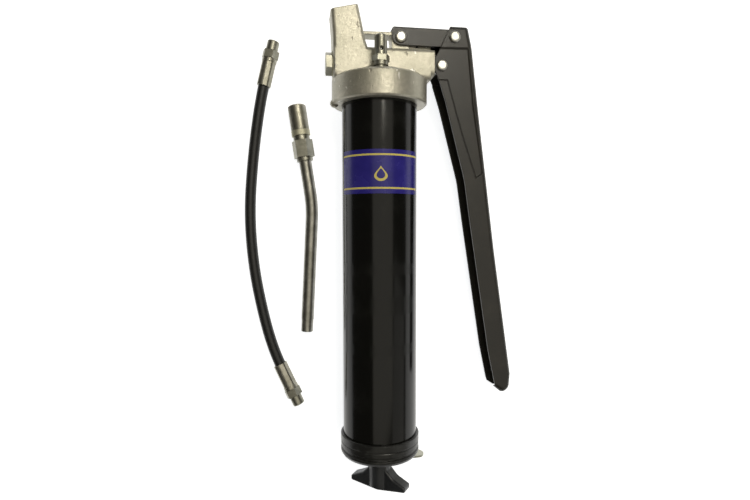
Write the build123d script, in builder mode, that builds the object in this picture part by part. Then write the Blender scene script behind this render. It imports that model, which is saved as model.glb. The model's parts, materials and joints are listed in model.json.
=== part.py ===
from build123d import *
import os
from math import atan, cos, degrees, radians, sin, sqrt, tan

os.makedirs("parts", exist_ok=True)

# Gun frame: the barrel axis is the Y axis, the head points to +Y, the lever lies on the +X side.
# Y = 0 is the lower face of the head skirt.  Every gun piece is drawn in this frame and laid on
# the floor at the end.

# ---- barrel and end cap ----
barrel_radius = 28.5
barrel_wall = 1.25
barrel_inner = barrel_radius - barrel_wall
barrel_top_y = 12.0
barrel_bottom_y = -263.5
cap_radius = 30.5
cap_top_y = -251.2
cap_floor_y = -264.0
cap_bottom_y = -268.0
cap_bore_radius = 28.55
cap_crease_y = -257.2
cap_crease_depth = 0.5
cap_groove_y = -262.0
cap_groove_depth = 1.0
cap_groove_height = 1.4
cap_bead = 0.6
label_top_y = -36.0
label_bottom_y = -67.5
label_thickness = 0.25
label_turn = -7.0
label_half_angle = 68.5

# ---- head ----
skirt_radius = 36.0
skirt_top_y = 19.5
skirt_bore_radius = 28.55
skirt_bore_top_y = 14.0
shoulder_radius = 20.0
shoulder_y = 24.5
pump_y = 30.05
boss_half_depth = 11.5
boss_left_x = -34.5
boss_right_x = 40.5
boss_bottom_y = 18.6
boss_top_y = 41.2
bore_radius = 5.03
seat_right_x = -10.0
seat_left_x = -12.0
seat_radius = 3.0
chamber_radius = 5.4
chamber_left_x = -27.0
plug_seat_x = -34.9
plug_washer_thickness = 1.2
plug_hex_height = 4.6
plug_thread_radius = 6.5
seal_pocket_radius = 8.0
seal_pocket_x = 33.5
well_radius = 26.4
well_top_radius = 8.0
well_top_y = 20.5
inlet_x = 6.0
inlet_radius = 3.0
tower_half_depth = 11.4
outlet_tilt = 13.0
outlet_x = -27.0
outlet_y = 68.6
outlet_minor_radius = 4.285
outlet_thread_depth = 12.0
outlet_passage_radius = 2.5
arm_half_depth = 5.8
arm_top_y = 54.0
arm_under_y = 51.6
window_right_x = 8.6
lug_radius = 6.0
lug_top_y = 55.9

# ---- linkage ----
pivot_a = (15.15, 50.1)
pivot_b = (56.0, 51.15)
pivot_c = (46.4, pump_y)
link_outer = 7.6
link_inner = 6.1
lever_outer = 10.4
lever_inner = 8.9
lever_pressed = 1.0
pressed_slope = 1.4
pressed_overshoot = 0.05
rivet_radius = 2.6
rivet_clearance = 0.06
rivet_head_radius = 4.3
rivet_head_height = 2.1
eye_up = 2.2
eye_down = 0.35
eye_radius = 2.85
plunger_radius = 5.0
plunger_tip_x = -7.5

# ---- loader fitting ----
loader_x = -2.4
loader_z = 22.0
loader_base_y = 23.6
loader_hex_y = 26.4
loader_body_y = 30.7
loader_top_y = 45.4
loader_radius = 4.55
loader_hex_flats = 11.0
loader_thread_radius = 4.28

# ---- follower ----
rod_radius = 4.0
rod_top_y = -3.5
rod_bottom_y = -294.0
follower_nut_y = -5.0
follower_nut_height = 5.0
follower_plate = 1.5
cup_top_y = -11.5
cup_height = 13.0
cup_radius = 27.05
spring_wire = 1.2
spring_radius = 21.5
spring_turns = 15

# ---- latch and handle ----
latch_angle = -6.0
latch_tilt = 4.0
latch_pivot_radius = 15.0
latch_thickness = 1.6
latch_pivot_y = -269.9
latch_reach = 36.4
latch_rivet_radius = 2.0
handle_angle = 36.0
handle_hub_radius = 8.5
handle_top_y = -274.5
handle_bottom_y = -298.0
handle_half_length = 23.6
handle_half_width = 5.4

# ---- loose hose and extension ----
pipe_thread_radius = 4.864
hose_radius = 4.5
ferrule_radius = 5.8
ferrule_collar_radius = 6.0
ferrule_crimp_flats = 11.2
fitting_flats = 12.0
fitting_z = 6.05
tube_radius = 5.1
tube_bore_radius = 2.0
coupler_radius = 7.5
nut_flats = 15.0

# ---- laying the gun down: skirt rim, cap rim and lever tip touch the floor ----
roll = 12.38
rise = degrees(atan((skirt_radius - cap_radius) / -cap_bottom_y))
axis_height = skirt_radius * cos(radians(rise))
gun_place = Location((0, 0, axis_height), (rise, 0, 0)) * Location((0, 0, 0), (0, roll, 0))
floor_place = Location((0, 0, 0))


def across(y):
    """Plane square to the barrel axis at height y, facing the tail."""
    return Plane.XZ.offset(-y)


pieces = []

# ================= head =================
tower_line = [
    (-35.2, 19.0),
    (-36.0, 51.0),
    (-37.2, 66.3),
    (-17.0, 70.9),
    (-14.4, 59.0),
    (-11.8, 46.0),
    (-9.0, 38.0),
    (-9.0, 19.0),
]
outlet_direction = (-sin(radians(outlet_tilt)), cos(radians(outlet_tilt)), 0)
outlet_face = Plane(origin=(outlet_x, outlet_y, 0), x_dir=(0, 0, 1), z_dir=outlet_direction)
passage_length = (outlet_y - pump_y) / cos(radians(outlet_tilt))

with BuildPart() as tower:
    with BuildSketch(Plane.XY.offset(-tower_half_depth)):
        with BuildLine():
            Polyline(*tower_line, close=True)
        make_face()
    extrude(amount=2 * tower_half_depth)
    corner_edges = tower.edges().filter_by(lambda e: abs(abs(e.center().Z) - tower_half_depth) < 0.01)
    corner_edges = corner_edges.filter_by(lambda e: e.center().Y > 20 and abs(e.tangent_at(0.5).Y) > 0.9)
    fillet(corner_edges, 3.0)

with BuildPart() as head_casting:
    with BuildSketch(Plane.XY):
        with BuildLine():
            Polyline(
                (0, 0),
                (skirt_radius - 1.2, 0),
                (skirt_radius, 1.2),
                (skirt_radius, skirt_top_y - 1.5),
                (skirt_radius - 2.0, skirt_top_y),
                (shoulder_radius, shoulder_y),
                (0, shoulder_y),
                close=True,
            )
        make_face()
    revolve(axis=Axis.Y)
    # plunger boss
    with BuildSketch(Plane.YZ.offset(boss_left_x)):
        with Locations(((boss_bottom_y + boss_top_y) / 2, 0)):
            RectangleRounded(boss_top_y - boss_bottom_y, 2 * boss_half_depth, 3.5)
    extrude(amount=boss_right_x - boss_left_x - 3.0)
    with BuildSketch(Plane.YZ.offset(boss_right_x - 3.0)):
        with Locations(((boss_bottom_y + 3.2 + boss_top_y) / 2, 0)):
            RectangleRounded(boss_top_y - boss_bottom_y - 3.2, 2 * boss_half_depth, 3.5)
    extrude(amount=3.0)
    add(tower.part)
    # arm, its pivot lug and the web under it
    with BuildSketch(Plane.XY.offset(-arm_half_depth)):
        with BuildLine():
            Polyline(
                (-20.0, arm_under_y),
                (window_right_x, arm_under_y),
                (window_right_x, 38.0),
                (pivot_a[0] + 7.5, 38.0),
                (pivot_a[0] + lug_radius, pivot_a[1]),
                (pivot_a[0] + 3.5, lug_top_y),
                (pivot_a[0] - 3.0, lug_top_y),
                (window_right_x - 1.0, arm_top_y),
                (-20.0, arm_top_y - 0.6),
                close=True,
            )
        make_face()
    extrude(amount=2 * arm_half_depth)
    # cast ridge on top of the boss, with its parting notch
    with BuildSketch(Plane.XY.offset(-4.0)):
        with BuildLine():
            Polyline((20, 40), (39.5, 40), (39.0, 45.2), (29.4, 45.2), (29.0, 44.0), (27.8, 44.0),
                     (27.4, 45.2), (20, 45.2), close=True)
        make_face()
    extrude(amount=8.0)
    # gate stub low on the left of the skirt
    with Locations((-34.2, 1.2, 0)):
        Sphere(3.2)
    # well, barrel socket and pump passages
    with BuildSketch(Plane.XY):
        with BuildLine():
            Polyline(
                (0, -4),
                (skirt_bore_radius, -4),
                (skirt_bore_radius, skirt_bore_top_y),
                (well_radius, skirt_bore_top_y),
                (well_top_radius, well_top_y),
                (0, well_top_y),
                close=True,
            )
        make_face()
    revolve(axis=Axis.Y, mode=Mode.SUBTRACT)
    with BuildSketch(Plane.YZ.offset(plug_seat_x)):
        with Locations((pump_y, 0)):
            Circle(9.4)
    extrude(amount=-6.0, mode=Mode.SUBTRACT)
    with BuildSketch(Plane.YZ.offset(plug_seat_x)):
        with Locations((pump_y, 0)):
            Circle(plug_thread_radius)
    extrude(amount=chamber_left_x - plug_seat_x, mode=Mode.SUBTRACT)
    with BuildSketch(Plane.YZ.offset(chamber_left_x - 1)):
        with Locations((pump_y, 0)):
            Circle(chamber_radius)
    extrude(amount=seat_left_x - chamber_left_x + 1, mode=Mode.SUBTRACT)
    with BuildSketch(Plane.YZ.offset(seat_left_x - 1)):
        with Locations((pump_y, 0)):
            Circle(seat_radius)
    extrude(amount=seat_right_x - seat_left_x + 2, mode=Mode.SUBTRACT)
    with BuildSketch(Plane.YZ.offset(seat_right_x)):
        with Locations((pump_y, 0)):
            Circle(bore_radius)
    extrude(amount=boss_right_x - seat_right_x + 2, mode=Mode.SUBTRACT)
    with BuildSketch(Plane.YZ.offset(seal_pocket_x)):
        with Locations((pump_y, 0)):
            Circle(seal_pocket_radius)
    extrude(amount=boss_right_x - seal_pocket_x + 2, mode=Mode.SUBTRACT)
    with BuildSketch(across(pump_y)):
        with Locations((inlet_x, 0)):
            Circle(inlet_radius)
    extrude(amount=pump_y - well_top_y + 2, mode=Mode.SUBTRACT)
    with BuildSketch(outlet_face.offset(2)):
        Circle(outlet_minor_radius)
    extrude(amount=-outlet_thread_depth - 2, mode=Mode.SUBTRACT)
    with BuildSketch(outlet_face):
        Circle(outlet_passage_radius)
    extrude(amount=-passage_length, mode=Mode.SUBTRACT)
    # loader seat and passage
    with BuildSketch(across(loader_base_y + 8)):
        with Locations((loader_x, loader_z)):
            Circle(6.8)
    extrude(amount=8.0, mode=Mode.SUBTRACT)
    with BuildSketch(across(loader_base_y + 2)):
        with Locations((loader_x, loader_z)):
            Circle(loader_thread_radius)
    extrude(amount=12.0, mode=Mode.SUBTRACT)
    # slotted eye for the link rivet
    with BuildSketch(Plane.XY.offset(-arm_half_depth - 1)):
        with Locations((pivot_a[0], pivot_a[1] + (eye_up - eye_down) / 2)):
            SlotCenterToCenter(eye_up + eye_down, 2 * eye_radius, rotation=90)
    extrude(amount=2 * arm_half_depth + 2, mode=Mode.SUBTRACT)
pieces.append((head_casting, "head_casting", gun_place))

with BuildPart() as barrel_gasket:
    with BuildSketch(across(skirt_bore_top_y)):
        Circle(skirt_bore_radius - 0.15)
        Circle(barrel_inner - 0.6, mode=Mode.SUBTRACT)
    extrude(amount=skirt_bore_top_y - barrel_top_y)
pieces.append((barrel_gasket, "barrel_gasket", gun_place))

plug_face_x = plug_seat_x - plug_washer_thickness
with BuildPart() as bore_end_plug:
    with BuildSketch(Plane.YZ.offset(plug_face_x - plug_hex_height)):
        with Locations((pump_y, 0)):
            RegularPolygon(15.0 / 2, 6, major_radius=False, rotation=0)
    extrude(amount=plug_hex_height)
    with BuildSketch(Plane.YZ.offset(plug_face_x)):
        with Locations((pump_y, 0)):
            Circle(plug_thread_radius)
    extrude(amount=chamber_left_x - plug_face_x - 0.5)
    with BuildSketch(Plane.YZ.offset(chamber_left_x - 5.5)):
        with Locations((pump_y, 0)):
            Circle(3.6)
    extrude(amount=5.2, mode=Mode.SUBTRACT)
pieces.append((bore_end_plug, "bore_end_plug", gun_place))

with BuildPart() as plug_washer:
    with BuildSketch(Plane.YZ.offset(plug_face_x)):
        with Locations((pump_y, 0)):
            Circle(8.4)
            Circle(plug_thread_radius + 0.05, mode=Mode.SUBTRACT)
    extrude(amount=plug_washer_thickness)
pieces.append((plug_washer, "plug_washer", gun_place))

ball_radius = 4.0
ball_x = seat_left_x - sqrt(ball_radius**2 - seat_radius**2)
with BuildPart() as check_ball:
    with Locations((ball_x, pump_y, 0)):
        Sphere(ball_radius)
pieces.append((check_ball, "check_ball", gun_place))

check_spring_start = chamber_left_x - 5.0
check_spring_length = ball_x - 3.4 - check_spring_start
with BuildPart() as check_spring:
    with BuildLine():
        check_helix = Helix(
            pitch=check_spring_length / 6,
            height=check_spring_length,
            radius=2.9,
            center=(check_spring_start, pump_y, 0),
            direction=(1, 0, 0),
        )
    with BuildSketch(Plane(origin=check_helix @ 0, z_dir=check_helix % 0)):
        Circle(0.4)
    sweep(path=check_helix, is_frenet=True)
pieces.append((check_spring, "check_spring", gun_place))

with BuildPart() as plunger_rod:
    with BuildSketch(Plane.YZ.offset(plunger_tip_x)):
        with Locations((pump_y, 0)):
            Circle(plunger_radius)
    extrude(amount=pivot_c[0] + 5.2 - plunger_tip_x)
    chamfer(plunger_rod.edges().filter_by(GeomType.CIRCLE), 0.8)
    with BuildSketch(Plane.XY.offset(-8)):
        with Locations(pivot_c):
            Circle(rivet_radius + rivet_clearance)
    extrude(amount=16, mode=Mode.SUBTRACT)
pieces.append((plunger_rod, "plunger_rod", gun_place))

with BuildPart() as plunger_seal:
    with BuildSketch(Plane.YZ.offset(seal_pocket_x)):
        with Locations((pump_y, 0)):
            Circle(seal_pocket_radius)
            Circle(plunger_radius + 0.05, mode=Mode.SUBTRACT)
    extrude(amount=boss_right_x - seal_pocket_x - 1.4)
pieces.append((plunger_seal, "plunger_seal", gun_place))

# ---- loader fitting with its valve and spring ----
with BuildPart() as loader_fitting:
    with BuildSketch(across(loader_hex_y)):
        with Locations((loader_x, loader_z)):
            Circle(5.4)
    extrude(amount=loader_hex_y - loader_base_y)
    with BuildSketch(across(loader_body_y)):
        with Locations((loader_x, loader_z)):
            RegularPolygon(loader_hex_flats / 2, 6, major_radius=False, rotation=0)
    extrude(amount=loader_body_y - loader_hex_y)
    with BuildSketch(across(loader_top_y)):
        with Locations((loader_x, loader_z)):
            Circle(loader_radius)
    extrude(amount=loader_top_y - loader_body_y)
    chamfer(loader_fitting.faces().sort_by(Axis.Y)[-1].edges(), 0.8)
    with BuildSketch(across(loader_base_y)):
        with Locations((loader_x, loader_z)):
            Circle(loader_thread_radius)
    extrude(amount=6.5)
    with BuildSketch(across(loader_top_y + 1)):
        with Locations((loader_x, loader_z)):
            Circle(1.5)
    extrude(amount=loader_top_y - loader_base_y + 12, mode=Mode.SUBTRACT)
    with BuildSketch(across(loader_body_y + 1)):
        with Locations((loader_x, loader_z)):
            Circle(2.6)
    extrude(amount=loader_body_y - loader_base_y + 12, mode=Mode.SUBTRACT)
    with BuildSketch(Plane.XY.offset(loader_z - 10)):
        with Locations((loader_x, 35.1)):
            Circle(1.45)
    extrude(amount=20, mode=Mode.SUBTRACT)
pieces.append((loader_fitting, "loader_fitting", gun_place))

with BuildPart() as loader_valve:
    with BuildSketch(across(loader_top_y - 0.4)):
        with Locations((loader_x, loader_z)):
            Circle(1.15)
    extrude(amount=loader_top_y - loader_body_y + 0.4)
    with BuildSketch(across(loader_body_y + 0.6)):
        with Locations((loader_x, loader_z)):
            Circle(2.2)
    extrude(amount=1.6)
pieces.append((loader_valve, "loader_valve", gun_place))

loader_spring_y = loader_body_y - 1.4
loader_spring_length = 11.5
with BuildPart() as loader_spring:
    with BuildLine():
        loader_helix = Helix(
            pitch=loader_spring_length / 6,
            height=loader_spring_length,
            radius=1.9,
            center=(loader_x, loader_spring_y, loader_z),
            direction=(0, -1, 0),
        )
    with BuildSketch(Plane(origin=loader_helix @ 0, z_dir=loader_helix % 0)):
        Circle(0.3)
    sweep(path=loader_helix, is_frenet=True)
pieces.append((loader_spring, "loader_spring", gun_place))

# ================= linkage =================
with BuildPart() as link_channel:
    with BuildSketch(Plane.XY.offset(-link_outer)) as link_outline:
        with BuildLine():
            Polyline((8.6, 44.4), (56, 44.4), (63, 44.4), (63, 56.5), (59.2, 58.0), (8.6, 58.0), close=True)
        make_face()
        left_corners = link_outline.vertices().group_by(Axis.X)[0]
        fillet(left_corners.sort_by(Axis.Y)[0], 6.5)
        chamfer(link_outline.vertices().group_by(Axis.X)[0].sort_by(Axis.Y)[-1], 1.6)
        fillet(link_outline.vertices().group_by(Axis.X)[-1].sort_by(Axis.Y)[0], 6.0)
    extrude(amount=2 * link_outer)
    top_edges = link_channel.faces().sort_by(Axis.Y)[-1].edges().filter_by(Axis.X)
    fillet(top_edges, 1.4)
    with BuildSketch(Plane.XY.offset(-link_inner)):
        with BuildLine():
            Polyline((2, 40), (70, 40), (70, 56.55), (2, 56.55), close=True)
        make_face()
    extrude(amount=2 * link_inner, mode=Mode.SUBTRACT)
    with BuildSketch(Plane.XY.offset(-12)):
        with Locations(pivot_a):
            Circle(rivet_radius)
        with Locations(pivot_b):
            Circle(rivet_radius + rivet_clearance)
    extrude(amount=24, mode=Mode.SUBTRACT)
pieces.append((link_channel, "link_channel", gun_place))

lever_outline = [
    (53.2, 60.2),
    (67.0, 60.2),
    (70.4, 45.0),
    (76.0, -2.5),
    (89.9, -110.0),
    (104.4, -209.0),
    (103.6, -219.5),
    (98.8, -225.0),
    (91.6, -220.0),
    (85.0, -189.0),
    (69.0, -86.3),
    (64.6, -55.8),
    (49.6, 1.7),
    (43.6, 20.5),
    (41.3, 26.0),
    (41.3, 35.2),
    (45.0, 42.7),
]
pressed_outline = [
    (40.0, 42.0),
    (66.2, 42.6),
    (67.7, 27.7),
    (70.3, 0.7),
    (73.3, -18.1),
    (78.3, -50.0),
    (74.0, -53.0),
    (64.0, -23.4),
    (57.6, -2.7),
    (51.2, 19.9),
    (40.0, 19.9),
]
lever_edge_radius = 4.0
lever_back_slope = 0.1365


def lever_back_x(y):
    """A line just inside the lever's long back edge."""
    return 62.9 + lever_back_slope * (45 - min(y, 45))


with BuildPart() as lever_channel:
    with BuildSketch(Plane.XY.offset(-lever_outer)) as lever_side:
        with BuildLine():
            Polyline(*lever_outline, close=True)
        make_face()
        corners = lever_side.vertices()
        fillet(corners.filter_by(lambda v: v.Y > 55 and v.X > 60), 2.5)
        fillet(lever_side.vertices().filter_by(lambda v: 40 < v.Y < 50 and v.X > 60), 60)
        fillet(lever_side.vertices().filter_by(lambda v: -10 < v.Y < 5 and v.X > 70), 300)
        fillet(lever_side.vertices().filter_by(lambda v: -115 < v.Y < -105), 600)
        fillet(lever_side.vertices().filter_by(lambda v: v.Y < -222), 5)
        fillet(lever_side.vertices().filter_by(lambda v: -221 < v.Y < -215 and v.X > 100), 5)
        fillet(lever_side.vertices().filter_by(lambda v: v.X < 41.5), 3.5)
        fillet(lever_side.vertices().filter_by(lambda v: -60 < v.Y < -50), 60)
    extrude(amount=2 * lever_outer)
    web_edges = lever_channel.edges().filter_by(lambda e: abs(abs(e.center().Z) - lever_outer) < 0.01)
    web_edges = web_edges.filter_by(lambda e: e.center().X > lever_back_x(e.center().Y))
    web_edges = web_edges.filter_by(lambda e: -216 < e.center().Y < 58)
    fillet(web_edges, lever_edge_radius)
    with BuildSketch(Plane.XY.offset(-lever_inner)) as lever_hollow:
        with BuildLine():
            Polyline(
                (20, 75),
                (63.9, 75),
                (68.9, 45),
                (74.5, -2.5),
                (88.4, -110),
                (102.8, -209),
                (102.0, -218.6),
                (98.6, -223.0),
                (84.0, -223.0),
                (60, -150),
                (20, -50),
                close=True,
            )
        make_face()
    extrude(amount=2 * lever_inner, mode=Mode.SUBTRACT)
    for pad_floor in (lever_inner - lever_pressed, -lever_inner):
        with BuildSketch(Plane.XY.offset(pad_floor)):
            add(lever_side.sketch_local)
            with BuildLine():
                Polyline(*pressed_outline, close=True)
            make_face(mode=Mode.INTERSECT)
        extrude(amount=lever_pressed)
    for side in (1, -1):
        with BuildSketch(Plane.XY.offset(side * (lever_outer + pressed_overshoot))):
            with BuildLine():
                Polyline(*pressed_outline, close=True)
            make_face()
            offset(amount=pressed_slope, kind=Kind.INTERSECTION)
        with BuildSketch(Plane.XY.offset(side * (lever_outer - lever_pressed))):
            with BuildLine():
                Polyline(*pressed_outline, close=True)
            make_face()
        loft(mode=Mode.SUBTRACT)
    with BuildSketch(Plane.XY.offset(-20)):
        with Locations(pivot_b, pivot_c):
            Circle(rivet_radius)
    extrude(amount=40, mode=Mode.SUBTRACT)
pieces.append((lever_channel, "lever_channel", gun_place))


for rivet_name, centre, seat in (
    ("link_rivet", pivot_a, link_outer),
    ("lever_rivet_upper", pivot_b, lever_outer),
    ("lever_rivet_lower", pivot_c, lever_outer - lever_pressed),
):
    with BuildPart() as rivet:
        with Locations((centre[0], centre[1], 0)):
            Cylinder(rivet_radius, 2 * seat)
        for side in (1, -1):
            with Locations((centre[0], centre[1], side * (seat + rivet_head_height / 2))):
                Cylinder(rivet_head_radius, rivet_head_height)
        crowns = rivet.faces().filter_by(Axis.Z).sort_by(Axis.Z)
        fillet((crowns[0].edges() + crowns[-1].edges()), 1.8)
    pieces.append((rivet, rivet_name, gun_place))

# ================= barrel =================
with BuildPart() as barrel_tube:
    with BuildSketch(across(barrel_top_y)):
        Circle(barrel_radius)
        Circle(barrel_inner, mode=Mode.SUBTRACT)
    extrude(amount=barrel_top_y - barrel_bottom_y)
pieces.append((barrel_tube, "barrel_tube", gun_place))

with BuildPart() as barrel_label:
    with BuildSketch(across(label_top_y)):
        Circle(barrel_radius + label_thickness)
        Circle(barrel_radius, mode=Mode.SUBTRACT)
        with BuildLine():
            Polyline((0, 0), (-60 * sin(radians(label_half_angle)), 60 * cos(radians(label_half_angle))),
                     (-60, 60), (60, 60),
                     (60 * sin(radians(label_half_angle)), 60 * cos(radians(label_half_angle))), close=True)
        make_face(mode=Mode.INTERSECT)
    extrude(amount=label_top_y - label_bottom_y)
label_place = gun_place * Location((0, 0, 0), (0, label_turn, 0))
pieces.append((barrel_label, "barrel_label", label_place))

latch_out = (cos(radians(latch_angle)), 0, sin(radians(latch_angle)))
with BuildPart() as end_cap:
    with BuildSketch(Plane.XY):
        with BuildLine():
            Polyline(
                (rod_radius + 0.25, cap_floor_y),
                (cap_bore_radius, cap_floor_y),
                (cap_bore_radius, cap_top_y),
                (cap_radius - cap_bead, cap_top_y),
                (cap_radius, cap_top_y - cap_bead),
                (cap_radius, cap_crease_y + cap_bead),
                (cap_radius - cap_crease_depth, cap_crease_y),
                (cap_radius - 0.1, cap_crease_y - cap_bead),
                (cap_radius - 0.1, cap_groove_y + cap_groove_height / 2 + cap_bead),
                (cap_radius - cap_groove_depth, cap_groove_y + cap_groove_height / 2),
                (cap_radius - cap_groove_depth, cap_groove_y - cap_groove_height / 2),
                (cap_radius, cap_groove_y - cap_groove_height / 2 - cap_bead),
                (cap_radius, cap_bottom_y + 3.0),
                (cap_radius - 1.2, cap_bottom_y + 1.0),
                (cap_radius - 3.2, cap_bottom_y),
                (rod_radius + 0.25, cap_bottom_y),
                close=True,
            )
        make_face()
    revolve(axis=Axis.Y)
    with BuildSketch(across(cap_bottom_y + 2.0)):
        with Locations((-latch_pivot_radius * latch_out[0], -latch_pivot_radius * latch_out[2])):
            Circle(latch_rivet_radius)
    extrude(amount=4.0, mode=Mode.SUBTRACT)
pieces.append((end_cap, "end_cap", gun_place))

# ================= follower =================
back_plate_top_y = cup_top_y - 4.0
with BuildPart() as follower_cup:
    with BuildSketch(Plane.XY):
        with BuildLine():
            Polyline(
                (rod_radius + 0.1, cup_top_y),
                (24.0, cup_top_y),
                (cup_radius, cup_top_y + 3.0),
                (cup_radius, cup_top_y + 1.0),
                (26.0, cup_top_y - 3.0),
                (cup_radius, cup_top_y - cup_height),
                (25.2, cup_top_y - cup_height),
                (24.0, back_plate_top_y),
                (rod_radius + 0.1, back_plate_top_y),
                close=True,
            )
        make_face()
    revolve(axis=Axis.Y)
pieces.append((follower_cup, "follower_cup", gun_place))

with BuildPart() as follower_front_plate:
    with BuildSketch(across(cup_top_y + follower_plate)):
        Circle(18.0)
        Circle(rod_radius + 0.1, mode=Mode.SUBTRACT)
    extrude(amount=follower_plate)
pieces.append((follower_front_plate, "follower_front_plate", gun_place))

with BuildPart() as follower_back_plate:
    with BuildSketch(Plane.XY):
        with BuildLine():
            Polyline(
                (rod_radius + 0.1, back_plate_top_y),
                (23.6, back_plate_top_y),
                (24.6, back_plate_top_y - 7.0),
                (23.4, back_plate_top_y - 7.0),
                (22.6, back_plate_top_y - follower_plate),
                (rod_radius + 0.1, back_plate_top_y - follower_plate),
                close=True,
            )
        make_face()
    revolve(axis=Axis.Y)
pieces.append((follower_back_plate, "follower_back_plate", gun_place))

spring_top_y = back_plate_top_y - follower_plate - spring_wire
spring_length = spring_top_y - cap_floor_y - spring_wire
with BuildPart() as follower_spring:
    with BuildLine():
        spring_helix = Helix(
            pitch=spring_length / spring_turns,
            height=spring_length,
            radius=spring_radius,
            center=(0, spring_top_y, 0),
            direction=(0, -1, 0),
        )
    with BuildSketch(Plane(origin=spring_helix @ 0, z_dir=spring_helix % 0)):
        Circle(spring_wire)
    sweep(path=spring_helix, is_frenet=True)
pieces.append((follower_spring, "follower_spring", gun_place))

with BuildPart() as follower_rod:
    with BuildSketch(across(rod_top_y)):
        Circle(rod_radius)
    extrude(amount=rod_top_y - rod_bottom_y)
    chamfer(follower_rod.edges().filter_by(GeomType.CIRCLE), 0.6)
    with BuildSketch(Plane.XY):
        with Locations((rod_radius, cup_top_y - 30)):
            Rectangle(1.6, 3.0)
    revolve(axis=Axis.Y, mode=Mode.SUBTRACT)
pieces.append((follower_rod, "follower_rod", gun_place))

with BuildPart() as rod_nut:
    with BuildSketch(across(follower_nut_y)):
        RegularPolygon(13.0 / 2, 6, major_radius=False)
        Circle(rod_radius + 0.02, mode=Mode.SUBTRACT)
    extrude(amount=follower_nut_height)
pieces.append((rod_nut, "rod_nut", gun_place))

# ================= latch and handle =================
handle_plane = Plane(
    origin=(0, 0, 0),
    x_dir=(cos(radians(handle_angle)), 0, sin(radians(handle_angle))),
    z_dir=(-sin(radians(handle_angle)), 0, cos(radians(handle_angle))),
)
with BuildPart() as t_handle:
    with BuildSketch(handle_plane.offset(-handle_half_width)) as wing:
        with BuildLine():
            Polyline(
                (-handle_hub_radius + 1, handle_top_y - 1),
                (handle_hub_radius - 1, handle_top_y - 1),
                (handle_hub_radius - 0.4, handle_top_y - 6.5),
                (13.5, handle_top_y - 12.0),
                (handle_half_length, handle_top_y - 16.6),
                (handle_half_length, handle_top_y - 20.5),
                (0, handle_bottom_y),
                (-handle_half_length, handle_top_y - 20.5),
                (-handle_half_length, handle_top_y - 16.6),
                (-13.5, handle_top_y - 12.0),
                (-handle_hub_radius + 0.4, handle_top_y - 6.5),
                close=True,
            )
        make_face()
        fillet(wing.vertices().filter_by(lambda v: 12 < abs(v.X) < 14), 8)
        fillet(wing.vertices().group_by(Axis.X)[0], 1.7)
        fillet(wing.vertices().group_by(Axis.X)[-1], 1.7)
    extrude(amount=2 * handle_half_width)
    fillet(t_handle.faces().filter_by(handle_plane).edges(), 1.6)
    with BuildSketch(across(handle_top_y)):
        Circle(handle_hub_radius)
    extrude(amount=handle_top_y - handle_bottom_y - 3)
    with BuildSketch(across(handle_top_y + 1)):
        Circle(rod_radius)
    extrude(amount=handle_top_y + 1 - rod_bottom_y, mode=Mode.SUBTRACT)
pieces.append((t_handle, "t_handle", gun_place))

latch_frame = Plane(
    origin=(-latch_pivot_radius * latch_out[0], latch_pivot_y, -latch_pivot_radius * latch_out[2]),
    x_dir=(
        latch_out[0] * cos(radians(latch_tilt)),
        -sin(radians(latch_tilt)),
        latch_out[2] * cos(radians(latch_tilt)),
    ),
    z_dir=(
        -latch_out[0] * sin(radians(latch_tilt)),
        -cos(radians(latch_tilt)),
        -latch_out[2] * sin(radians(latch_tilt)),
    ),
)
with BuildPart() as latch_plate:
    with BuildSketch(latch_frame):
        with Locations((latch_pivot_radius, 0)):
            Circle(11.0)
        with Locations((latch_pivot_radius / 2, 0)):
            Rectangle(latch_pivot_radius + 8, 11.0)
        with BuildLine():
            Polyline((latch_pivot_radius, -9), (latch_pivot_radius + latch_reach - 6, -6.5),
                     (latch_pivot_radius + latch_reach - 6, 6.5), (latch_pivot_radius, 9), close=True)
        make_face()
        with Locations((latch_pivot_radius + latch_reach - 6.5, 0)):
            Circle(6.5)
        with Locations((latch_pivot_radius, 0)):
            Circle(rod_radius + 0.6, mode=Mode.SUBTRACT)
        Circle(2.4, mode=Mode.SUBTRACT)
    extrude(amount=latch_thickness)
pieces.append((latch_plate, "latch_plate", gun_place))

with BuildPart() as latch_rivet:
    with BuildSketch(across(cap_bottom_y + 2.0)):
        with Locations((latch_frame.origin.X, latch_frame.origin.Z)):
            Circle(latch_rivet_radius)
    extrude(amount=cap_bottom_y + 2.0 + 272.5)
    with BuildSketch(across(-272.5)):
        with Locations((latch_frame.origin.X, latch_frame.origin.Z)):
            Circle(3.6)
    extrude(amount=1.3)
pieces.append((latch_rivet, "latch_rivet", gun_place))

latch_spring_height = 1.6
with BuildPart() as latch_spring:
    with BuildLine():
        latch_helix = Helix(
            pitch=latch_spring_height / 1.75,
            height=latch_spring_height,
            radius=6.6,
            center=(0, cap_bottom_y - 0.45, 0),
            direction=(0, -1, 0),
        )
    with BuildSketch(Plane(origin=latch_helix @ 0, z_dir=latch_helix % 0)):
        Circle(0.4)
    sweep(path=latch_helix, is_frenet=True)
pieces.append((latch_spring, "latch_spring", gun_place))

# ================= loose flexible hose =================
hose_points = [
    Vector(-96.9, 31.0, fitting_z),
    Vector(-101.5, 12.0, fitting_z),
    Vector(-108.3, -35.0, 4.7),
    Vector(-111.6, -80.0, 4.6),
    Vector(-108.3, -125.0, 4.6),
    Vector(-99.8, -167.0, 4.7),
    Vector(-90.5, -197.0, fitting_z),
    Vector(-83.6, -211.4, fitting_z),
]
hose_runs = [hose_points[i + 1] - hose_points[i] for i in range(len(hose_points) - 1)]
hose_radii = []
for before, after in zip(hose_runs[:-1], hose_runs[1:]):
    turn = radians(before.get_angle(after))
    hose_radii.append(0.45 * min(before.length, after.length) / tan(turn / 2))

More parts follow.
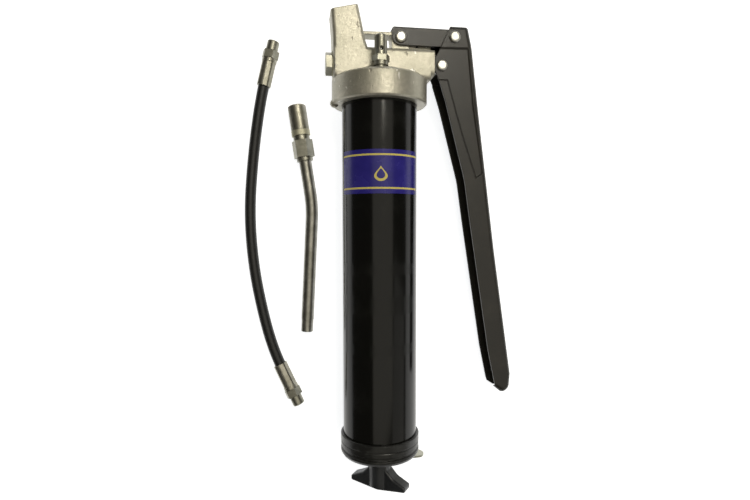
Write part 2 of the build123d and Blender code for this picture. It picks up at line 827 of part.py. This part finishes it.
with BuildPart() as hose_tube:
    with BuildLine():
        hose_path = FilletPolyline(*hose_points, radius=hose_radii)
    with BuildSketch(Plane(origin=hose_path @ 0, z_dir=hose_path % 0)):
        Circle(hose_radius)
    sweep(path=hose_path)
pieces.append((hose_tube, "hose_tube", floor_place))
hose_length = hose_path.length

ferrule_overlap = 5.0
ferrule_length = 22.9
ferrule_collar_length = 3.0
hex_length = 6.4
stub_length = 8.2
ends = (
    ("upper", hose_points[0], (hose_points[0] - hose_points[1]).normalized()),
    ("lower", hose_points[-1], (hose_points[-1] - hose_points[-2]).normalized()),
)
stub_faces = []
for end_name, hose_end, outward in ends:
    mouth = hose_end - outward * ferrule_overlap
    with BuildPart() as ferrule:
        with BuildSketch(Plane(origin=mouth, x_dir=(0, 0, 1), z_dir=outward)):
            Circle(ferrule_radius)
            RegularPolygon(ferrule_crimp_flats / 2, 8, major_radius=False, mode=Mode.INTERSECT)
        extrude(amount=ferrule_length)
        collar_start = mouth + outward * (ferrule_length - ferrule_collar_length)
        with BuildSketch(Plane(origin=collar_start, x_dir=(0, 0, 1), z_dir=outward)):
            Circle(ferrule_collar_radius)
        extrude(amount=ferrule_collar_length)
        collar_edges = ferrule.edges().filter_by(GeomType.CIRCLE)
        collar_edges = collar_edges.filter_by(lambda e: e.radius > ferrule_radius + 0.1)
        chamfer(collar_edges, 0.15)
        with BuildSketch(Plane(origin=mouth, x_dir=(0, 0, 1), z_dir=outward)):
            Circle(hose_radius)
        extrude(amount=ferrule_overlap, mode=Mode.SUBTRACT)
        with BuildSketch(Plane(origin=mouth, x_dir=(0, 0, 1), z_dir=outward)):
            Circle(2.6)
        extrude(amount=ferrule_length, mode=Mode.SUBTRACT)
    pieces.append((ferrule, f"hose_ferrule_{end_name}", floor_place))
    hex_start = mouth + outward * ferrule_length
    with BuildPart() as fitting:
        with BuildSketch(Plane(origin=hex_start, x_dir=(0, 0, 1), z_dir=outward)):
            RegularPolygon(fitting_flats / 2, 6, major_radius=False, rotation=30)
        extrude(amount=hex_length)
        with BuildSketch(Plane(origin=hex_start, x_dir=(0, 0, 1), z_dir=outward)):
            Circle(2.6)
        extrude(amount=-(ferrule_length - ferrule_overlap - 0.2))
        with BuildSketch(Plane(origin=hex_start + outward * hex_length, x_dir=(0, 0, 1), z_dir=outward)):
            Circle(pipe_thread_radius)
        extrude(amount=stub_length)
        chamfer(fitting.faces().sort_by(Axis(mouth, outward))[-1].edges(), 0.7)
        with BuildSketch(Plane(origin=hex_start, x_dir=(0, 0, 1), z_dir=outward)):
            Circle(1.6)
        extrude(amount=hex_length + stub_length + 1, both=True, mode=Mode.SUBTRACT)
    pieces.append((fitting, f"hose_fitting_{end_name}", floor_place))
    stub_faces.append((hex_start + outward * (hex_length + stub_length), outward))

# ================= loose rigid extension with its coupler =================
slope = 0.0166


def above(y):
    """Height of the extension axis over the floor: on the nut at one end, on the thread at the other."""
    return 7.8 + (y + 25.0) * slope


mouth_point = Vector(-70.0, 8.8, above(8.8))
bend_point = Vector(-57.35, -74.3, above(-74.3))
end_point = Vector(-62.7, -178.6, above(-178.6))
tube_start_offset = 38.5
inward = (bend_point - mouth_point).normalized()


def along(distance):
    """Plane square to the coupler axis, a distance back from its mouth."""
    return Plane(origin=mouth_point + inward * distance, x_dir=(0, 0, 1), z_dir=inward)


thread_length = 10.0
with BuildPart() as extension_tube:
    with BuildLine():
        extension_path = FilletPolyline(
            mouth_point + inward * tube_start_offset, bend_point, end_point, radius=110
        )
    with BuildSketch(Plane(origin=extension_path @ 0, z_dir=extension_path % 0)):
        Circle(tube_radius)
        Circle(tube_bore_radius, mode=Mode.SUBTRACT)
    sweep(path=extension_path)
    end_direction = (end_point - bend_point).normalized()
    with BuildSketch(Plane(origin=end_point - end_direction * thread_length, z_dir=end_direction)):
        Circle(tube_radius + 1)
        Circle(pipe_thread_radius, mode=Mode.SUBTRACT)
    extrude(amount=thread_length + 1, mode=Mode.SUBTRACT)
pieces.append((extension_tube, "extension_tube", floor_place))

sleeve_length = 20.6
ring_length = 4.5
neck_length = 3.9
nut_length = 14.0
hex_at = sleeve_length + ring_length + neck_length
with BuildPart() as coupler_sleeve:
    with BuildSketch(along(0)):
        Circle(coupler_radius)
    extrude(amount=sleeve_length)
    chamfer(coupler_sleeve.faces().sort_by(Axis(mouth_point, inward))[0].edges(), 1.0)
    with BuildSketch(along(-1)):
        Circle(4.4)
    extrude(amount=3, mode=Mode.SUBTRACT)
    with BuildSketch(along(0.8)):
        Circle(4.7)
    with BuildSketch(along(7.6)):
        Circle(6.0)
    loft(mode=Mode.SUBTRACT)
    with BuildSketch(along(7.5)):
        Circle(6.0)
    extrude(amount=sleeve_length, mode=Mode.SUBTRACT)
pieces.append((coupler_sleeve, "coupler_sleeve", floor_place))

with BuildPart() as coupler_jaws:
    with BuildSketch(along(0.9)):
        Circle(4.45)
    with BuildSketch(along(7.4)):
        Circle(5.7)
    loft()
    with BuildSketch(along(0)):
        Circle(3.3)
    extrude(amount=9, mode=Mode.SUBTRACT)
    with BuildSketch(along(0)):
        with Locations((0, 0, 0)):
            Rectangle(14, 0.7)
            Rectangle(0.7, 14)
    extrude(amount=9, mode=Mode.SUBTRACT)
pieces.append((coupler_jaws, "coupler_jaws", floor_place))

with BuildPart() as coupler_seal:
    with BuildSketch(along(7.7)):
        Circle(5.6)
        Circle(1.4, mode=Mode.SUBTRACT)
    extrude(amount=3.2)
pieces.append((coupler_seal, "coupler_seal", floor_place))

with BuildPart() as coupler_spring:
    with BuildLine():
        coupler_helix = Helix(
            pitch=2.2, height=8.2, radius=4.4, center=mouth_point + inward * 11.7, direction=inward
        )
    with BuildSketch(Plane(origin=coupler_helix @ 0, z_dir=coupler_helix % 0)):
        Circle(0.5)
    sweep(path=coupler_helix, is_frenet=True)
pieces.append((coupler_spring, "coupler_spring", floor_place))

with BuildPart() as coupler_ring:
    with BuildSketch(along(sleeve_length)):
        Circle(coupler_radius + 0.15)
        Circle(5.0, mode=Mode.SUBTRACT)
    extrude(amount=ring_length)
pieces.append((coupler_ring, "coupler_ring", floor_place))

with BuildPart() as coupler_body:
    with BuildSketch(along(sleeve_length)):
        Circle(4.95)
    extrude(amount=ring_length)
    with BuildSketch(along(sleeve_length + ring_length)):
        Circle(coupler_radius - 0.8)
    extrude(amount=neck_length)
    with BuildSketch(along(hex_at)):
        RegularPolygon(nut_flats / 2, 6, major_radius=False, rotation=30)
    extrude(amount=nut_length)
    with BuildSketch(along(sleeve_length - 1)):
        Circle(1.8)
    extrude(amount=nut_length + 12, mode=Mode.SUBTRACT)
    with BuildSketch(along(tube_start_offset)):
        Circle(tube_radius)
    extrude(amount=12, mode=Mode.SUBTRACT)
pieces.append((coupler_body, "coupler_body", floor_place))

with BuildPart() as coupler_collar:
    with BuildSketch(along(hex_at + nut_length)):
        Circle(6.6)
        Circle(tube_radius, mode=Mode.SUBTRACT)
    extrude(amount=3.0)
pieces.append((coupler_collar, "coupler_collar", floor_place))

# ================= write the pieces =================
cord_names = ["hose_tube"]
for end_name in ("upper", "lower"):
    cord_names.extend([f"hose_ferrule_{end_name}", f"hose_fitting_{end_name}"])
placed = []
for piece, label, place in pieces:
    piece.part = piece.part.moved(place)
    placed.append((piece, label))
rigid_solids = [Compound(piece.part.solids()) for piece, label in placed if label not in cord_names]
rigid = Compound(children=rigid_solids)
extent = rigid.bounding_box()
centre = Vector(-(extent.min.X + extent.max.X) / 2, -(extent.min.Y + extent.max.Y) / 2, -extent.min.Z)
origin_shift = Location(centre)
for piece, label in placed:
    piece.part = piece.part.moved(origin_shift)
    piece.part.label = label
    export_step(piece.part, f"parts/{label}.step")

print("row box", [round(value, 2) for value in (extent.size.X, extent.size.Y, extent.size.Z)])
print("origin shift", [round(value, 3) for value in centre], "roll", roll, "rise", round(rise, 4))
print("hose radii", [round(radius, 1) for radius in hose_radii], "length", round(hose_length, 2))
tube_volume = hose_radius**2 * 3.14159265 * hose_length
print("hose volume over section times length", round(hose_tube.part.volume / tube_volume, 4))
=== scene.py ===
import json
import math

import bpy
from mathutils import Euler, Matrix, Vector


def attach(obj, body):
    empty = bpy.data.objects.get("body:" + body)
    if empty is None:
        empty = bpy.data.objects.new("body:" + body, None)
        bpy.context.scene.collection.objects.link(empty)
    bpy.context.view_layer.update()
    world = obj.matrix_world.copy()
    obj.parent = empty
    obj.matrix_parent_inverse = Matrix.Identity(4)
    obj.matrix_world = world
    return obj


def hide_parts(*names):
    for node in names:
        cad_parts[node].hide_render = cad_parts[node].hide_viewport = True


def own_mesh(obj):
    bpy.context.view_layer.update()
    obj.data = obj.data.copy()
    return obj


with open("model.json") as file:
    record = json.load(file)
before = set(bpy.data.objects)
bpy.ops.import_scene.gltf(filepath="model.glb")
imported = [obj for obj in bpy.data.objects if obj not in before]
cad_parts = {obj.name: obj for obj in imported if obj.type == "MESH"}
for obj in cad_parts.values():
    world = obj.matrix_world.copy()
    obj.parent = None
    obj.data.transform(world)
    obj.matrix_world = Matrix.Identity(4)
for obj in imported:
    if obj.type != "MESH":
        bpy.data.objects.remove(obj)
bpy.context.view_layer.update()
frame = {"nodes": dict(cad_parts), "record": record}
record = frame["record"]
nodes = frame["nodes"]
MM = 0.001

# ---------------------------------------------------------------- the gun's own frame
# X towards the lever, Y along the barrel to the head, Z square to the lever's plane.
joints = {joint["name"]: joint for joint in record["behaviour"]["joints"]}
GUN_X = Vector(joints["plunger_slide"]["axis"])
GUN_Y = Vector(joints["rod_spin"]["axis"])
GUN_Z = Vector(joints["lever_pivot"]["axis"])
ROD_PIVOT_TO_SKIRT = 150 * MM
gun_origin = Vector(joints["rod_spin"]["pos_m"]) + GUN_Y * ROD_PIVOT_TO_SKIRT
GUN = Matrix.Translation(gun_origin) @ Matrix((GUN_X, GUN_Y, GUN_Z)).transposed().to_4x4()


def gun_point(x, y, z):
    """A point of the gun's own frame, in millimetres, in the row frame in metres."""
    return GUN @ Vector((x * MM, y * MM, z * MM))


# ---------------------------------------------------------------- camera
barrel_foot = Vector((gun_origin.x, gun_origin.y, 0.0))
camera_data = bpy.data.cameras.new("camera")
camera_data.sensor_width = 36.0
camera_data.lens = 24.0
camera_data.dof.use_dof = False
camera = bpy.data.objects.new("camera", camera_data)
bpy.context.scene.collection.objects.link(camera)
camera.location = barrel_foot + Vector((21.3, -96.8, 420.0)) * MM
camera.rotation_mode = "ZYX"
camera.rotation_euler = Euler((math.radians(-1.87), math.radians(3.67), math.radians(0.08)), "ZYX")
bpy.context.scene.camera = camera

# ---------------------------------------------------------------- the hose
HOSE_DIAMETER = 9.0 * MM
FITTING_HEIGHT = 6.05
hose_route = [
    (-96.9, 31.0, FITTING_HEIGHT),
    (-101.5, 12.0, FITTING_HEIGHT),
    (-108.3, -35.0, 4.7),
    (-111.6, -80.0, 4.6),
    (-108.3, -125.0, 4.6),
    (-99.8, -167.0, 4.7),
    (-90.5, -197.0, FITTING_HEIGHT),
    (-83.6, -211.4, FITTING_HEIGHT),
]
FLOOR_LIFT = Vector((0, 0, 0.1 * MM))
hose_points = [barrel_foot + Vector(point) * MM + FLOOR_LIFT for point in hose_route]
hose_curve = bpy.data.curves.new("hose", "CURVE")
hose_curve.dimensions = "3D"
# The points carry the tube's radius, because Blender's box of a curve grows by it, not by the bevel.
hose_curve.bevel_depth = 1.0
hose_curve.bevel_resolution = 8
hose_curve.resolution_u = 24
hose_curve.use_fill_caps = True
spline = hose_curve.splines.new("NURBS")
spline.points.add(len(hose_points) - 1)
for control, point in zip(spline.points, hose_points):
    control.co = (*point, 1.0)
    control.radius = HOSE_DIAMETER / 2
spline.order_u = 3
spline.use_endpoint_u = True
hose = bpy.data.objects.new("hose", hose_curve)
bpy.context.scene.collection.objects.link(hose)
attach(hose, "hose")
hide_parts("hose_tube")


# ---------------------------------------------------------------- material helpers
class Shader:
    """A material being wired up: each call adds one node and returns its output socket."""

    def __init__(self, name):
        self.material = bpy.data.materials.new(name)
        self.material.use_nodes = True
        self.tree = self.material.node_tree
        self.surface = self.tree.nodes["Principled BSDF"]

    def node(self, kind, inputs=None, output=0, **settings):
        made = self.tree.nodes.new(kind)
        for key, value in settings.items():
            setattr(made, key, value)
        for key, value in (inputs or {}).items():
            self.plug(made.inputs[key], value)
        return made.outputs[output]

    def plug(self, socket, value):
        if isinstance(value, bpy.types.NodeSocket):
            self.tree.links.new(value, socket)
        else:
            socket.default_value = value

    def set(self, **values):
        for key, value in values.items():
            self.plug(self.surface.inputs[key.replace("_", " ")], value)

    def coords(self, scale=(1, 1, 1)):
        place = self.node("ShaderNodeTexCoord", output=3)
        return self.node("ShaderNodeMapping", {"Vector": place, "Scale": scale})

    def along_and_around(self):
        """Millimetres along the barrel and radians round it, in the gun's own frame."""
        place = self.node("ShaderNodeTexCoord", output=3)
        local = self.node(
            "ShaderNodeMapping",
            {"Vector": place, "Location": gun_origin, "Rotation": GUN.to_euler()},
            vector_type="TEXTURE",
        )
        scaled = self.node("ShaderNodeVectorMath", {0: local, "Scale": 1 / MM}, operation="SCALE")
        parts = self.tree.nodes.new("ShaderNodeSeparateXYZ")
        self.plug(parts.inputs[0], scaled)
        return parts.outputs[1], self.math("ARCTAN2", parts.outputs[0], parts.outputs[2])

    def noise(self, vector, scale, detail=4.0, roughness=0.5):
        return self.node(
            "ShaderNodeTexNoise",
            {"Vector": vector, "Scale": scale, "Detail": detail, "Roughness": roughness},
        )

    def ramp(self, value, low, high, start=0.0, stop=1.0):
        return self.node(
            "ShaderNodeMapRange",
            {"Value": value, "From Min": low, "From Max": high, "To Min": start, "To Max": stop},
            interpolation_type="SMOOTHSTEP",
        )

    def math(self, operation, first, second=0.0):
        return self.node("ShaderNodeMath", {0: first, 1: second}, operation=operation)

    def mix(self, factor, first, second):
        return self.node("ShaderNodeMix", {0: factor, 6: first, 7: second}, output=2, data_type="RGBA")

    def bump(self, height, distance, strength=1.0, normal=None):
        inputs = {"Height": height, "Distance": distance, "Strength": strength}
        if normal is not None:
            inputs["Normal"] = normal
        return self.node("ShaderNodeBump", inputs)

    def rounded(self, radius):
        """Normals that round off sharp edges a little, as on any made part."""
        return self.node("ShaderNodeBevel", {"Radius": radius}, samples=4)


def rgb(red, green, blue):
    return (red, green, blue, 1.0)


# ---------------------------------------------------------------- materials
def cast_alloy():
    """Die-cast alloy: grainy skin, shallow flow marks and a few small dents, with painted shade
    darkening the dents and painted glints brightening their rims.
    """
    m = Shader("cast_alloy")
    place = m.coords()
    grain = m.noise(place, 1100, 5, 0.65)
    lumps = m.noise(place, 380, 3, 0.55)
    blotch = m.noise(place, 55, 3, 0.5)
    flow = m.noise(m.coords((1.0, 0.45, 1.0)), 300, 3, 0.5)
    # The dent and rim masks raise bumps. They also paint shade into the dents and glints onto their
    # rims.
    dents_with_painted_shade = m.ramp(flow, 0.27, 0.33)
    rims_with_painted_glints = m.ramp(flow, 0.69, 0.72)
    tone = m.mix(m.ramp(blotch, 0.3, 0.7), rgb(0.37, 0.355, 0.285), rgb(0.47, 0.445, 0.37))
    tone = m.mix(m.ramp(lumps, 0.35, 0.65, 0.0, 0.35), tone, rgb(0.30, 0.29, 0.235))
    # Painted shade makes the dents darker, and painted glints make their rims bright.
    tone = m.mix(rims_with_painted_glints, m.mix(dents_with_painted_shade, rgb(0.30, 0.28, 0.23), tone), rgb(0.72, 0.70, 0.64))
    height = m.math("ADD", m.math("MULTIPLY", grain, 0.5), m.math("MULTIPLY", lumps, 1.2))
    height = m.math("ADD", height, m.math("ADD", dents_with_painted_shade, rims_with_painted_glints))
    m.set(Base_Color=tone, Metallic=0.7, Roughness=m.ramp(grain, 0.3, 0.7, 0.34, 0.50))
    m.set(Normal=m.bump(height, 0.00022, 0.7, m.rounded(0.0011)))
    return m.material


KNURL_BANDS = ((-118.5, -126.5), (-142.0, -155.5), (-178.0, -186.0))
KNURL_FADE = 0.8
KNURL_PITCH = 1.6
KNURL_TEETH = 90.0


def barrel_enamel():
    """Black enamel with a little dust, over three bands of fine knurling."""
    m = Shader("barrel_enamel")
    along, around = m.along_and_around()
    bands = None
    for top, bottom in KNURL_BANDS:
        above = m.ramp(along, bottom - KNURL_FADE, bottom + KNURL_FADE)
        below = m.ramp(along, top - KNURL_FADE, top + KNURL_FADE, 1.0, 0.0)
        band = m.math("MULTIPLY", above, below)
        bands = band if bands is None else m.math("ADD", bands, band)
    ribs = m.math("SINE", m.math("MULTIPLY", along, 2 * math.pi / KNURL_PITCH))
    teeth = m.math("SINE", m.math("MULTIPLY", around, KNURL_TEETH))
    knurl = m.math("MULTIPLY", m.math("MULTIPLY", ribs, teeth), bands)
    peel = m.noise(m.coords(), 160, 2, 0.4)
    dust = m.ramp(m.noise(m.coords(), 45, 4, 0.6), 0.45, 0.75)
    m.set(Base_Color=m.mix(dust, rgb(0.003, 0.003, 0.0024), rgb(0.006, 0.006, 0.005)))
    m.set(Roughness=m.ramp(dust, 0.0, 1.0, 0.16, 0.22), Specular_IOR_Level=0.28)
    m.set(Normal=m.bump(m.math("ADD", knurl, m.math("MULTIPLY", peel, 0.15)), 0.00006, 0.5))
    return m.material


def cap_black():
    """Pressed cap, black and lightly scuffed."""
    m = Shader("cap_black")
    place = m.coords()
    scuff = m.ramp(m.noise(place, 220, 5, 0.65), 0.45, 0.75)
    m.set(Base_Color=m.mix(scuff, rgb(0.010, 0.010, 0.009), rgb(0.022, 0.023, 0.021)))
    m.set(Roughness=m.ramp(scuff, 0.0, 1.0, 0.28, 0.42), Specular_IOR_Level=0.35)
    m.set(Normal=m.bump(m.noise(place, 500, 2), 0.00003, 0.4, m.rounded(0.0006)))
    return m.material


LABEL_RADIUS = 28.75
LABEL_TURN = math.radians(-7.0)
RULE_CENTRES = (-39.8, -63.6)
RULE_HALF_WIDTH = 0.65
DROP_CENTRE = -53.4
DROP_OUTER = 5.35
DROP_INNER = 3.55
RULE_BLUR = 0.1
DROP_BLUR = 0.15


def label_vinyl():
    """Blue wrap with two plain rules and the outline of a grease drop between them."""
    m = Shader("label_vinyl")
    along, around = m.along_and_around()
    arc = m.math("MULTIPLY", m.math("SUBTRACT", around, LABEL_TURN), LABEL_RADIUS)
    rules = None
    for centre in RULE_CENTRES:
        off = m.math("ABSOLUTE", m.math("SUBTRACT", along, centre))
        rule = m.ramp(off, RULE_HALF_WIDTH - RULE_BLUR, RULE_HALF_WIDTH + RULE_BLUR, 1.0, 0.0)
        rules = rule if rules is None else m.math("MAXIMUM", rules, rule)
    rise = m.math("SUBTRACT", along, DROP_CENTRE)
    narrowing = m.ramp(rise, -3.0, 7.5, 1.0, 0.04)
    across = m.math("DIVIDE", m.math("ABSOLUTE", arc), narrowing)
    rise_squared = m.math("POWER", m.math("ABSOLUTE", rise), 2.0)
    reach = m.math("SQRT", m.math("ADD", m.math("POWER", across, 2.0), rise_squared))
    drop = m.ramp(reach, DROP_OUTER - DROP_BLUR, DROP_OUTER + DROP_BLUR, 1.0, 0.0)
    inner = m.ramp(reach, DROP_INNER - DROP_BLUR, DROP_INNER + DROP_BLUR, 1.0, 0.0)
    mark = m.math("MAXIMUM", rules, m.math("SUBTRACT", drop, inner))
    fade = m.noise(m.coords(), 90, 3)
    blue = m.mix(m.ramp(fade, 0.3, 0.7), rgb(0.020, 0.016, 0.17), rgb(0.028, 0.022, 0.21))
    m.set(Base_Color=m.mix(mark, blue, rgb(0.62, 0.52, 0.13)))
    m.set(Roughness=m.ramp(fade, 0.2, 0.8, 0.2, 0.32))
    m.set(Specular_IOR_Level=0.3, Normal=m.bump(m.noise(m.coords(), 700, 2), 0.00002, 0.3))
    return m.material


def lever_black():
    """Satin black paint with a fine grain."""
    m = Shader("lever_black")
    place = m.coords()
    grain = m.noise(place, 1400, 3, 0.6)
    wear = m.ramp(m.noise(place, 40, 4, 0.6), 0.4, 0.8)
    tone = m.mix(wear, rgb(0.012, 0.0105, 0.0075), rgb(0.024, 0.021, 0.015))
    m.set(Base_Color=tone, Roughness=m.ramp(grain, 0.3, 0.7, 0.34, 0.46))
    m.set(Normal=m.bump(grain, 0.00006, 0.6, m.rounded(0.0009)))
    return m.material


def plated(name, tone_low, tone_high, roughness):
    """Plated or bare metal, stained between two tones."""
    m = Shader(name)
    place = m.coords()
    stain = m.ramp(m.noise(place, 130, 4, 0.6), 0.35, 0.7)
    fine = m.noise(place, 1800, 3, 0.6)
    m.set(Base_Color=m.mix(stain, tone_low, tone_high), Metallic=1.0)
    m.set(Roughness=m.ramp(fine, 0.3, 0.7, roughness, roughness + 0.1))
    m.set(Normal=m.bump(fine, 0.00002, 0.4, m.rounded(0.0005)))
    return m.material


def rubber(name, tone, roughness):
    """Dark rubber with a light bloom."""
    m = Shader(name)
    place = m.coords()
    fine = m.noise(place, 1500, 3, 0.6)
    bloom = m.ramp(m.noise(place, 70, 3, 0.5), 0.4, 0.8)
    pale = rgb(*(part * 1.8 for part in tone[:3]))
    m.set(Base_Color=m.mix(bloom, tone, pale))
    m.set(Roughness=m.ramp(fine, 0.3, 0.7, roughness, roughness + 0.12))
    m.set(Normal=m.bump(fine, 0.00003, 0.5))
    return m.material


def handle_plastic():
    """Moulded black plastic with a soft grain."""
    m = Shader("handle_plastic")
    place = m.coords()
    grain = m.noise(place, 600, 4, 0.6)
    flow = m.ramp(m.noise(place, 50, 2, 0.5), 0.35, 0.75)
    m.set(Base_Color=m.mix(flow, rgb(0.010, 0.011, 0.013), rgb(0.020, 0.022, 0.025)))
    m.set(Roughness=m.ramp(grain, 0.3, 0.7, 0.32, 0.44))
    m.set(Normal=m.bump(grain, 0.00004, 0.5, m.rounded(0.0008)))
    return m.material


finishes = {
    "cast_alloy": cast_alloy(),
    "barrel_enamel": barrel_enamel(),
    "cap_black": cap_black(),
    "label_vinyl": label_vinyl(),
    "lever_black": lever_black(),
    "rivet_zinc": plated("rivet_zinc", rgb(0.50, 0.49, 0.44), rgb(0.62, 0.61, 0.56), 0.34),
    "plated_fitting": plated("plated_fitting", rgb(0.24, 0.235, 0.19), rgb(0.36, 0.35, 0.29), 0.34),
    "plated_sleeve": plated("plated_sleeve", rgb(0.26, 0.25, 0.20), rgb(0.38, 0.365, 0.31), 0.33),
    "plated_tube": plated("plated_tube", rgb(0.25, 0.245, 0.21), rgb(0.37, 0.36, 0.32), 0.33),
    "brass_trim": plated("brass_trim", rgb(0.50, 0.48, 0.36), rgb(0.62, 0.60, 0.47), 0.55),
    "steel_ground": plated("steel_ground", rgb(0.50, 0.50, 0.49), rgb(0.62, 0.62, 0.61), 0.18),
    "spring_steel": plated("spring_steel", rgb(0.28, 0.28, 0.27), rgb(0.38, 0.38, 0.37), 0.30),
    "steel_plate": plated("steel_plate", rgb(0.34, 0.34, 0.28), rgb(0.46, 0.45, 0.38), 0.40),
    "seal_rubber": rubber("seal_rubber", rgb(0.018, 0.018, 0.018), 0.55),
    "hose_rubber": rubber("hose_rubber", rgb(0.004, 0.004, 0.0035), 0.40),
    "handle_plastic": handle_plastic(),
}
for part in record["subparts"]:
    mesh = nodes[part["node"]].data
    mesh.materials.clear()
    mesh.materials.append(finishes[part["material_slot"]])
hose.data.materials.append(finishes["hose_rubber"])


def giving_spring(name, body):
    """A copy of the spring's mesh as its own object on the body, with the imported spring hidden."""
    coil_mesh = nodes[name].data.copy()
    coil = bpy.data.objects.new(name + "_coil", coil_mesh)
    bpy.context.scene.collection.objects.link(coil)
    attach(coil, body)
    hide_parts(name)
    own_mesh(coil)


for name, body, joint_name in (
    ("follower_spring", "gun", "follower_slide"),
    ("check_spring", "gun", "check_ball_lift"),
    ("loader_spring", "gun", "loader_valve_push"),
    ("coupler_spring", "extension", "coupler_grip_slide"),
):
    giving_spring(name, body)

giving_spring("latch_spring", "gun")


# ---------------------------------------------------------------- floor and light
def area_light(name, place, aim, width, height, power, colour):
    data = bpy.data.lights.new(name, "AREA")
    data.shape = "RECTANGLE"
    data.size = width
    data.size_y = height
    data.energy = power
    data.color = colour
    light = bpy.data.objects.new(name, data)
    bpy.context.scene.collection.objects.link(light)
    light.location = place
    light.rotation_euler = (Vector(aim) - Vector(place)).to_track_quat("-Z", "Y").to_euler()
    return light


FLOOR_HALF = 3.0
floor_corners = [(FLOOR_HALF * x, FLOOR_HALF * y, 0) for x, y in ((-1, -1), (1, -1), (1, 1), (-1, 1))]
floor_mesh = bpy.data.meshes.new("floor")
floor_mesh.from_pydata(floor_corners, [], [(0, 1, 2, 3)])
floor = bpy.data.objects.new("floor", floor_mesh)
bpy.context.scene.collection.objects.link(floor)
light_table = Shader("light_table")
light_table.set(Base_Color=rgb(0.90, 0.90, 0.90), Roughness=0.9)
light_table.set(Emission_Color=rgb(0.95, 0.97, 1.0), Emission_Strength=0.80)
floor_mesh.materials.append(light_table.material)

WARM = (1.0, 0.95, 0.83)
PALE_WARM = (1.0, 0.97, 0.9)
lights = [
    area_light("ceiling_box", (0.40, 0.25, 1.30), (0.40, 0.25, 0), 1.60, 2.10, 9.5, WARM),
    area_light("ceiling_strip", (0.50, 0.72, 1.25), (0.10, 0.1, 0), 0.14, 0.75, 7.0, WARM),
    area_light("window_box", (1.50, -0.9, 0.80), (0, -0.3, 0.05), 1.40, 1.20, 3.2, PALE_WARM),
]
world = bpy.data.worlds.new("world")
world.use_nodes = True
background = world.node_tree.nodes["Background"]
background.inputs["Color"].default_value = rgb(1, 0.97, 0.88)
background.inputs["Strength"].default_value = 0.08
bpy.context.scene.world = world
bpy.context.scene.view_settings.view_transform = "Standard"
